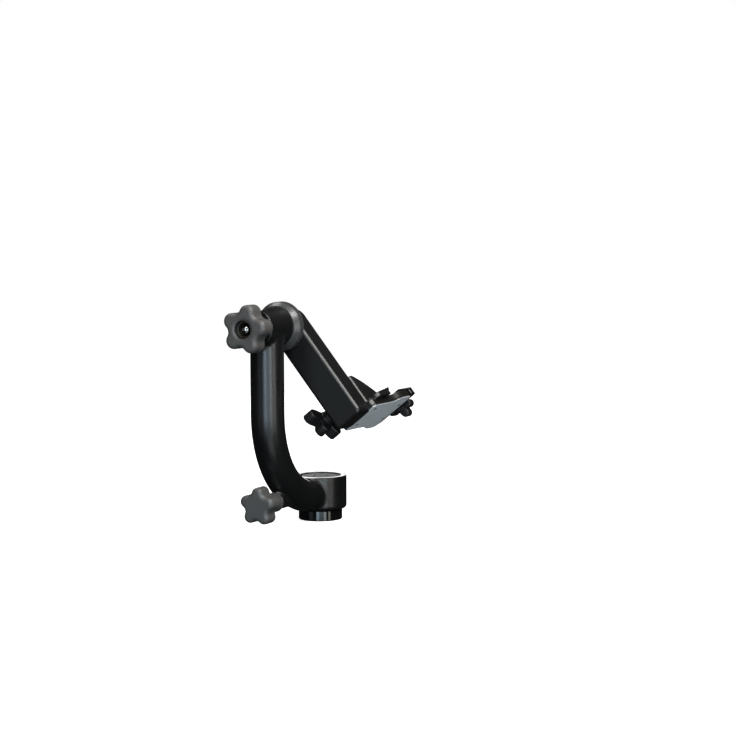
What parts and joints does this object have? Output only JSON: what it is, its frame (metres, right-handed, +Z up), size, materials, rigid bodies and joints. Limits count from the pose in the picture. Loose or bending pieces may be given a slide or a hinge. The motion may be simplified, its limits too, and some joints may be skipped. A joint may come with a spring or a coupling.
{
  "type": "gimbal tripod head",
  "caption": "Side-mount gimbal head for long lenses: panning base, curved upright arm, tilting swing arm and height-adjustable clamp platform, each with a lock knob.",
  "frame": {"origin": "centre of the base foot's underside, on the pan axis, at the mouth of the tripod thread", "axes": "+Z up along the pan axis; the tilt axis is parallel to X with the J-arm and its knobs on the -X side; the swing arm is swung about 39 degrees from hanging towards -Y, and the lens would point to -Y and up"},
  "size_m": [0.2164, 0.1295, 0.242],
  "materials": {
    "pan_base": "black anodised, gloss",
    "tripod_thread_insert": "turned steel",
    "pan_inner_races": "ground steel",
    "pan_brake_drum": "ground steel",
    "pan_lock_washer": "zinc plated",
    "pan_lock_nut": "zinc plated",
    "j_arm": "black anodised, satin",
    "pan_cap": "black anodised, turned",
    "pan_outer_races": "ground steel",
    "pan_lock_bush": "turned",
    "tilt_outer_races": "ground steel",
    "pan_brake_shoe": "machined brass",
    "pan_knob": "moulded, fine grain",
    "pan_knob_stud": "turned steel",
    "tilt_axle": "turned steel",
    "tilt_cap_screw": "bright plated",
    "tilt_inner_races": "ground steel",
    "tilt_spacer": "ground steel",
    "tilt_friction_washer": "low-friction plastic",
    "tilt_flange": "grey anodised, satin",
    "tilt_groove_ring": "black anodised, turned",
    "swing_arm": "black anodised, satin",
    "height_rail": "clear anodised, satin",
    "rail_screws": "black oxide",
    "arm_screws": "black oxide",
    "axle_end_screw": "black oxide",
    "rail_stop_screws": "black oxide",
    "tilt_thrust_washer": "zinc plated",
    "tilt_knob": "moulded, fine grain",
    "tilt_knob_insert": "machined brass",
    "platform_bracket": "black anodised, satin",
    "platform_plate": "clear anodised, satin",
    "plate_screws": "black oxide",
    "guide_pins": "turned steel",
    "height_gib": "machined brass",
    "height_knob": "moulded, fine grain",
    "height_stud": "turned steel",
    "clamp_jaw": "black anodised, satin",
    "clamp_washer": "zinc plated",
    "clamp_knob": "moulded, fine grain",
    "clamp_screw": "turned steel"
  },
  "bodies": {
    "base": {"pan_base": "pan_base", "tripod_thread_insert": "tripod_thread_insert", "pan_inner_races": "pan_inner_races", "pan_brake_drum": "pan_brake_drum", "pan_lock_washer": "pan_lock_washer", "pan_lock_nut": "pan_lock_nut"},
    "yoke": {"j_arm": "j_arm", "pan_cap": "pan_cap", "pan_outer_races": "pan_outer_races", "pan_lock_bush": "pan_lock_bush", "tilt_outer_races": "tilt_outer_races"},
    "pan_shoe": {"pan_brake_shoe": "pan_brake_shoe"},
    "pan_lock": {"pan_knob": "pan_knob", "pan_knob_stud": "pan_knob_stud"},
    "cradle": {"tilt_axle": "tilt_axle", "tilt_cap_screw": "tilt_cap_screw", "tilt_inner_races": "tilt_inner_races", "tilt_spacer": "tilt_spacer", "tilt_friction_washer": "tilt_friction_washer", "tilt_flange": "tilt_flange", "tilt_groove_ring": "tilt_groove_ring", "swing_arm": "swing_arm", "height_rail": "height_rail", "rail_screws": "rail_screws", "arm_screws": "arm_screws", "axle_end_screw": "axle_end_screw", "rail_stop_screws": "rail_stop_screws"},
    "tilt_washer": {"tilt_thrust_washer": "tilt_thrust_washer"},
    "tilt_lock": {"tilt_knob": "tilt_knob", "tilt_knob_insert": "tilt_knob_insert"},
    "carriage": {"platform_bracket": "platform_bracket", "platform_plate": "platform_plate", "plate_screws": "plate_screws", "guide_pins": "guide_pins"},
    "gib": {"height_gib": "height_gib"},
    "height_lock": {"height_knob": "height_knob", "height_stud": "height_stud"},
    "jaw": {"clamp_jaw": "clamp_jaw", "clamp_washer": "clamp_washer"},
    "clamp_lock": {"clamp_knob": "clamp_knob", "clamp_screw": "clamp_screw"}
  },
  "joints": [
    {"name": "pan", "type": "hinge", "parent": "base", "child": "yoke", "pos_m": [0, 0, 0.03], "axis": [0, 0, 1], "continuous": true},
    {"name": "tilt", "type": "hinge", "parent": "yoke", "child": "cradle", "pos_m": [-0.114, 0, 0.216], "axis": [1, 0, 0], "continuous": true},
    {"name": "platform_height", "type": "slide", "parent": "cradle", "child": "carriage", "axis": [0, 0.628, 0.7782], "range_m": [0, 0.0495]},
    {"name": "pan_shoe_slide", "type": "slide", "parent": "yoke", "child": "pan_shoe", "axis": [-1, 0, 0], "range_m": [0, 0.0006]},
    {"name": "pan_knob_turn", "type": "hinge", "parent": "pan_shoe", "child": "pan_lock", "pos_m": [-0.12, 0, 0.0317], "axis": [-1, 0, 0], "range_deg": [0, 216.1]},
    {"name": "tilt_washer_slide", "type": "slide", "parent": "cradle", "child": "tilt_washer", "axis": [-1, 0, 0], "range_m": [0, 0.0005]},
    {"name": "tilt_knob_turn", "type": "hinge", "parent": "tilt_washer", "child": "tilt_lock", "pos_m": [-0.15, 0, 0.216], "axis": [-1, 0, 0], "range_deg": [0, 144.1]},
    {"name": "gib_slide", "type": "slide", "parent": "carriage", "child": "gib", "axis": [0, 0.7782, -0.628], "range_m": [0, 0.00045]},
    {"name": "height_knob_turn", "type": "hinge", "parent": "gib", "child": "height_lock", "pos_m": [-0.0521, -0.03619, 0.11542], "axis": [0, 0.7782, -0.628], "range_deg": [0, 162.1]},
    {"name": "jaw_slide", "type": "slide", "parent": "carriage", "child": "jaw", "axis": [1, 0, 0], "range_m": [-0.0008, 0.0045]},
    {"name": "clamp_knob_turn", "type": "hinge", "parent": "jaw", "child": "clamp_lock", "pos_m": [0.04, -0.07498, 0.12308], "axis": [1, 0, 0], "range_deg": [-360.1, 2025.1]}
  ],
  "couplings": [
    {"joint": "pan_knob_turn", "follows": "pan_shoe_slide", "rad_per_m": 6283.2},
    {"joint": "tilt_knob_turn", "follows": "tilt_washer_slide", "rad_per_m": 5026.5},
    {"joint": "height_knob_turn", "follows": "gib_slide", "rad_per_m": 6283.2},
    {"joint": "clamp_knob_turn", "follows": "jaw_slide", "rad_per_m": 7854}
  ]
}
